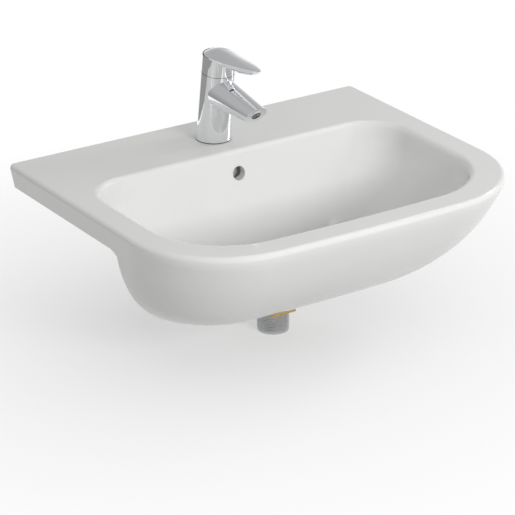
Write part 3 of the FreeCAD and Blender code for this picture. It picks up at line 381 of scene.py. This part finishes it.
# moulded acetal: waxy and half matt, with the fine texture of a spark-eroded mould
for name, light_tone, dark_tone, owners in (
    ("white acetal, moulded", "#E2E2DC", "#D2D2CA",
     ["cartridge_housing", "mixing_disc_carrier", "spindle_carrier", "slip_washer"]),
    ("grey acetal, moulded", "#8E9194", "#74777A", ["aerator_insert"]),
):
    acetal, tree, place = new_material(name)
    flow = add_node(tree, "ShaderNodeTexNoise", {"Vector": place, "Scale": 1 / 0.01, "Detail": 3})
    eroded = add_node(tree, "ShaderNodeTexNoise", {"Vector": place, "Scale": 1 / 0.0003, "Detail": 2})
    acetal_colour = add_node(tree, "ShaderNodeMixRGB", {
        "Fac": flow.outputs[0], "Color1": linear(light_tone), "Color2": linear(dark_tone),
    })
    acetal_gloss = add_node(
        tree, "ShaderNodeMapRange", {"Value": flow.outputs[0], "To Min": 0.32, "To Max": 0.5}
    )
    textured = add_node(tree, "ShaderNodeBump", {
        "Strength": 0.3, "Distance": 0.00002, "Height": eroded.outputs[0],
    })
    dress(acetal, tree, {
        "Base Color": acetal_colour.outputs[0], "Roughness": acetal_gloss.outputs[0], "IOR": 1.48,
        "Normal": textured.outputs[0],
    }, *owners)


# ---------------------------------------------------------------------------------------------
# The cartridge
# Two lapped discs of alumina slide on each other in a moulded acetal housing. A turned brass nut
# holds the housing down on its seals.
# ---------------------------------------------------------------------------------------------

# lapped alumina: a dense cream ceramic, flat and half gloss, with faint lapping scratches
alumina, tree, place = new_material("alumina, lapped")
stretched = add_node(tree, "ShaderNodeVectorMath", {"operation": "MULTIPLY", 0: place, 1: (1, 12, 12)})
scratches = add_node(
    tree, "ShaderNodeTexNoise", {"Vector": stretched.outputs[0], "Scale": 1 / 0.003, "Detail": 3}
)
speck = add_node(tree, "ShaderNodeTexNoise", {"Vector": place, "Scale": 1 / 0.0008, "Detail": 2})
alumina_colour = add_node(tree, "ShaderNodeMixRGB", {
    "Fac": speck.outputs[0], "Color1": linear("#ECE7DA"), "Color2": linear("#DAD3C2"),
})
alumina_gloss = add_node(
    tree, "ShaderNodeMapRange", {"Value": scratches.outputs[0], "To Min": 0.12, "To Max": 0.34}
)
lapped = add_node(
    tree, "ShaderNodeBump", {"Strength": 0.3, "Distance": 0.000006, "Height": scratches.outputs[0]}
)
dress(alumina, tree, {
    "Base Color": alumina_colour.outputs[0], "Roughness": alumina_gloss.outputs[0], "IOR": 1.76,
    "Normal": lapped.outputs[0],
}, "ceramic_disc_fixed", "ceramic_disc_moving")


# ---------------------------------------------------------------------------------------------
# The lever
# A die-cast and chromed handle over a square stem of stainless steel, held by a grub screw from the
# rear. A small grey plug closes the screw's hole.
# ---------------------------------------------------------------------------------------------

# stainless steel, ground bright: neutral grey with short grinding lines
stainless, tree, place = new_material("stainless steel, ground")
drawn = add_node(tree, "ShaderNodeVectorMath", {"operation": "MULTIPLY", 0: place, 1: (10, 10, 1)})
lines = add_node(
    tree, "ShaderNodeTexNoise", {"Vector": drawn.outputs[0], "Scale": 1 / 0.002, "Detail": 3}
)
stainless_colour = add_node(tree, "ShaderNodeMixRGB", {
    "Fac": lines.outputs[0], "Color1": linear("#C9C8C5"), "Color2": linear("#B0AFAD"),
})
stainless_gloss = add_node(
    tree, "ShaderNodeMapRange", {"Value": lines.outputs[0], "To Min": 0.16, "To Max": 0.34}
)
ground_steel = add_node(
    tree, "ShaderNodeBump", {"Strength": 0.3, "Distance": 0.000008, "Height": lines.outputs[0]}
)
dress(stainless, tree, {
    "Base Color": stainless_colour.outputs[0], "Metallic": 1, "Roughness": stainless_gloss.outputs[0],
    "Normal": ground_steel.outputs[0],
}, "lever_stem", "lever_pivot_pin", "grub_screw", "plunger_spring")

# moulded ABS: the plug's plain grey, glossy with a slight unevenness from the mould
plug_grey, tree, place = new_material("grey ABS, moulded")
flow = add_node(tree, "ShaderNodeTexNoise", {"Vector": place, "Scale": 1 / 0.001, "Detail": 2})
plug_colour = add_node(tree, "ShaderNodeMixRGB", {
    "Fac": flow.outputs[0], "Color1": linear("#94979A"), "Color2": linear("#85888B"),
})
plug_gloss = add_node(
    tree, "ShaderNodeMapRange", {"Value": flow.outputs[0], "To Min": 0.22, "To Max": 0.38}
)
dress(plug_grey, tree, {
    "Base Color": plug_colour.outputs[0], "Roughness": plug_gloss.outputs[0],
}, "index_plug")


# ---------------------------------------------------------------------------------------------
# The waste
# A hot-stamped brass body, polished where it shows in the bowl and plated as turned below, with a
# slotted tail that carries a 1 1/4 inch thread for the backnut and the trap.
# ---------------------------------------------------------------------------------------------

# the same plate on the polished flange and on the unpolished tail, which is greyer and half matt
waste_body, tree, place = new_material("chromed brass, tail as turned")
gloss, waved = plating(tree, place)
lines = turned_lines(tree, place, waste_axis, feed)
cut = add_node(
    tree, "ShaderNodeBump", {"Strength": 0.2, "Distance": 0.00003, "Height": lines, "Normal": waved}
)
where = add_node(tree, "ShaderNodeSeparateXYZ", {"Vector": place})
flange_underside = -0.1102
tail = add_node(
    tree, "ShaderNodeMath", {"operation": "LESS_THAN", 0: where.outputs["Z"], 1: flange_underside}
)
tarnish = add_node(tree, "ShaderNodeTexNoise", {"Vector": place, "Scale": 1 / 0.01, "Detail": 5})
dull_plate = add_node(tree, "ShaderNodeMixRGB", {
    "Fac": tarnish.outputs[0], "Color1": linear("#D6D7D8"), "Color2": linear("#B7B9BB"),
})
waste_colour = add_node(tree, "ShaderNodeMixRGB", {
    "Fac": tail.outputs[0], "Color1": chromium, "Color2": dull_plate.outputs[0],
})
waste_gloss = add_node(
    tree, "ShaderNodeMapRange", {"Value": tail.outputs[0], "To Min": gloss, "To Max": 0.3}
)
dress(waste_body, tree, {
    "Base Color": waste_colour.outputs[0], "Metallic": 1, "Roughness": waste_gloss.outputs[0],
    "Normal": cut.outputs[0],
}, "waste_body")

# the tail's thread has 11 turns to the inch, and shows below the backnut
tail_thread = screw_thread(
    "tail_thread", waste_axis, radius=0.02095, tall=0.0006, pitch=0.0254 / 11, low=-0.1915,
    high=-0.163, surface=waste_body,
)
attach(tail_thread, "fixed")


# ---------------------------------------------------------------------------------------------
# The studio
# White paper on the floor and behind, a small softbox on the right, a large one low in front, and a
# grey board on the far left that the chrome reflects.
# ---------------------------------------------------------------------------------------------

floor_level = cad_box[0][2] - 0.0003
floor_mesh = bpy.data.meshes.new("floor")
half = 4
floor_mesh.from_pydata(
    [(-half, -half, 0), (half, -half, 0), (half, half, 0), (-half, half, 0)], [], [(0, 1, 2, 3)]
)
floor = bpy.data.objects.new("floor", floor_mesh)
floor.location = (0, -0.2, floor_level)
bpy.context.collection.objects.link(floor)

# white paper: matt, and lit so far that it goes over into the white background away from the basin.
# What it throws back on the basin is held down
paper, tree, place = new_material("white paper")
away = add_node(tree, "ShaderNodeVectorMath", {"operation": "LENGTH", 0: place})
away = add_node(tree, "ShaderNodeMapRange", {
    "Value": away.outputs["Value"], "From Min": 0.15, "From Max": 0.75, "To Min": 0.45, "To Max": 1,
})
seen = add_node(tree, "ShaderNodeLightPath", {})
seen_or_mirrored = add_node(tree, "ShaderNodeMath", {
    "operation": "MAXIMUM", 0: seen.outputs["Is Camera Ray"], 1: seen.outputs["Is Glossy Ray"],
})
seen_or_mirrored = add_node(tree, "ShaderNodeMath", {
    "operation": "MAXIMUM", 0: seen_or_mirrored.outputs[0], 1: seen.outputs["Is Transmission Ray"],
})
whitening = add_node(tree, "ShaderNodeMath", {
    "operation": "MULTIPLY", 0: seen_or_mirrored.outputs[0], 1: away.outputs[0],
})
tone = add_node(tree, "ShaderNodeMixRGB", {
    "Fac": seen.outputs["Is Diffuse Ray"], "Color1": linear("#EDEDED"), "Color2": linear("#BEBEBE"),
})
matt = add_node(tree, "ShaderNodeBsdfDiffuse", {"Color": tone.outputs[0]})
white = add_node(tree, "ShaderNodeEmission", {"Color": (1, 1, 1, 1), "Strength": 1})
both = add_node(
    tree, "ShaderNodeMixShader", {0: whitening.outputs[0], 1: matt.outputs[0], 2: white.outputs[0]}
)
add_node(tree, "ShaderNodeOutputMaterial", {"Surface": both.outputs[0]})
floor_mesh.materials.append(paper)

# a curved grey board behind on the left, off the picture: only mirrors see it, and it gives the
# chrome its grey sides
board_steps, board_reach, board_top = 24, 0.75, 0.7
board_start, board_sweep = math.radians(92), math.radians(98)
points = []
for step in range(board_steps + 1):
    angle = board_start + board_sweep * step / board_steps
    for level in (floor_level, board_top):
        points.append((board_reach * math.cos(angle), foot.y + board_reach * math.sin(angle), level))
board_mesh = bpy.data.meshes.new("grey board")
board_mesh.from_pydata(
    points, [], [(2 * step, 2 * step + 2, 2 * step + 3, 2 * step + 1) for step in range(board_steps)]
)
board = bpy.data.objects.new("grey_board", board_mesh)
bpy.context.collection.objects.link(board)
board.visible_camera = board.visible_diffuse = False
board.visible_shadow = board.visible_transmission = False
card, tree, place = new_material("grey card")
where = add_node(tree, "ShaderNodeSeparateXYZ", {"Vector": place})
shade = add_node(tree, "ShaderNodeMapRange", {
    "Value": where.outputs["Z"], "From Min": -0.1, "From Max": 0.3, "To Min": 0.3, "To Max": 0.45,
})
glow = add_node(tree, "ShaderNodeEmission", {"Color": shade.outputs[0], "Strength": 1})
add_node(tree, "ShaderNodeOutputMaterial", {"Surface": glow.outputs[0]})
board_mesh.materials.append(card)

# the room: white to the camera, and as mirrored by metal a white horizon under a dim ceiling
world = bpy.data.worlds.new("studio")
bpy.context.scene.world = world
world.use_nodes = True
tree = world.node_tree
tree.nodes.clear()
way = add_node(tree, "ShaderNodeTexCoord", {}).outputs["Generated"]
split = add_node(tree, "ShaderNodeSeparateXYZ", {"Vector": way})
ceiling = add_node(tree, "ShaderNodeValToRGB", {"Fac": split.outputs["Z"]})
stops = ceiling.color_ramp.elements
for number, (level, grey) in enumerate(((0.0, 0.95), (0.2, 0.58), (0.5, 0.44), (0.9, 0.38))):
    if number > 1:
        stops.new(level)
    stops[number].position = level
    stops[number].color = (grey, grey, grey, 1)
to_left = add_node(
    tree, "ShaderNodeVectorMath", {"operation": "DOT_PRODUCT", 0: way, 1: (-0.86, 0.5, 0.1)}
)
to_left = add_node(tree, "ShaderNodeMapRange", {
    "Value": to_left.outputs["Value"], "From Min": 0.3, "From Max": 0.75, "To Min": 0, "To Max": 1,
})
walls = add_node(tree, "ShaderNodeMixRGB", {
    "Fac": to_left.outputs[0], "Color1": ceiling.outputs[0], "Color2": (0.45, 0.45, 0.45, 1),
})
# a black grid with white lamps hangs over the set, and a piece of it stands to the right of the
# camera. They give the chrome its broken black lines
grid = add_node(tree, "ShaderNodeTexChecker", {
    "Vector": way, "Scale": 5.5, "Color1": (0.02, 0.02, 0.02, 1), "Color2": (2.2, 2.2, 2.2, 1),
})
over = add_node(
    tree, "ShaderNodeVectorMath", {"operation": "DOT_PRODUCT", 0: way, 1: (0.5, -0.05, 0.86)}
)
over = add_node(tree, "ShaderNodeMapRange", {
    "Value": over.outputs["Value"], "From Min": 0.84, "From Max": 0.86, "To Min": 0, "To Max": 1,
})
beside = add_node(
    tree, "ShaderNodeVectorMath", {"operation": "DOT_PRODUCT", 0: way, 1: (0.62, -0.78, -0.05)}
)
beside = add_node(tree, "ShaderNodeMapRange", {
    "Value": beside.outputs["Value"], "From Min": 0.95, "From Max": 0.96, "To Min": 0, "To Max": 1,
})
at_grid = add_node(
    tree, "ShaderNodeMath", {"operation": "MAXIMUM", 0: over.outputs[0], 1: beside.outputs[0]}
)
walls = add_node(tree, "ShaderNodeMixRGB", {
    "Fac": at_grid.outputs[0], "Color1": walls.outputs[0], "Color2": grid.outputs["Color"],
})
# as a light, the room is an even grey, and the softboxes do the rest
ray = add_node(tree, "ShaderNodeLightPath", {})
mirrored = add_node(tree, "ShaderNodeMixRGB", {
    "Fac": ray.outputs["Is Glossy Ray"], "Color1": (0.64, 0.64, 0.64, 1), "Color2": walls.outputs[0],
})
room = add_node(tree, "ShaderNodeMixRGB", {
    "Fac": ray.outputs["Is Camera Ray"], "Color1": mirrored.outputs[0], "Color2": (1, 1, 1, 1),
})
sky = add_node(tree, "ShaderNodeBackground", {"Color": room.outputs[0], "Strength": 1})
add_node(tree, "ShaderNodeOutputWorld", {"Surface": sky.outputs[0]})


def softbox(name, place, aim, width, tall, watts, mirrored):
    """A lamp behind a white cloth. One that isn't mirrored stands too far off to show in the glaze."""
    light = bpy.data.lights.new(name, "AREA")
    light.shape = "RECTANGLE"
    light.size, light.size_y, light.energy = width, tall, watts
    item = bpy.data.objects.new(name, light)
    item.location = place
    item.rotation_euler = (Vector(aim) - Vector(place)).to_track_quat("-Z", "Y").to_euler()
    item.visible_glossy = mirrored
    bpy.context.collection.objects.link(item)


softbox(
    "key softbox", (1.2, -0.3, 0.62), aim=(0, -0.2, 0), width=0.34, tall=0.26, watts=2.6, mirrored=True
)
softbox(
    "front softbox", (0.15, -2.4, 0.82), aim=(0, -0.25, 0), width=0.9, tall=0.5, watts=27,
    mirrored=False,
)
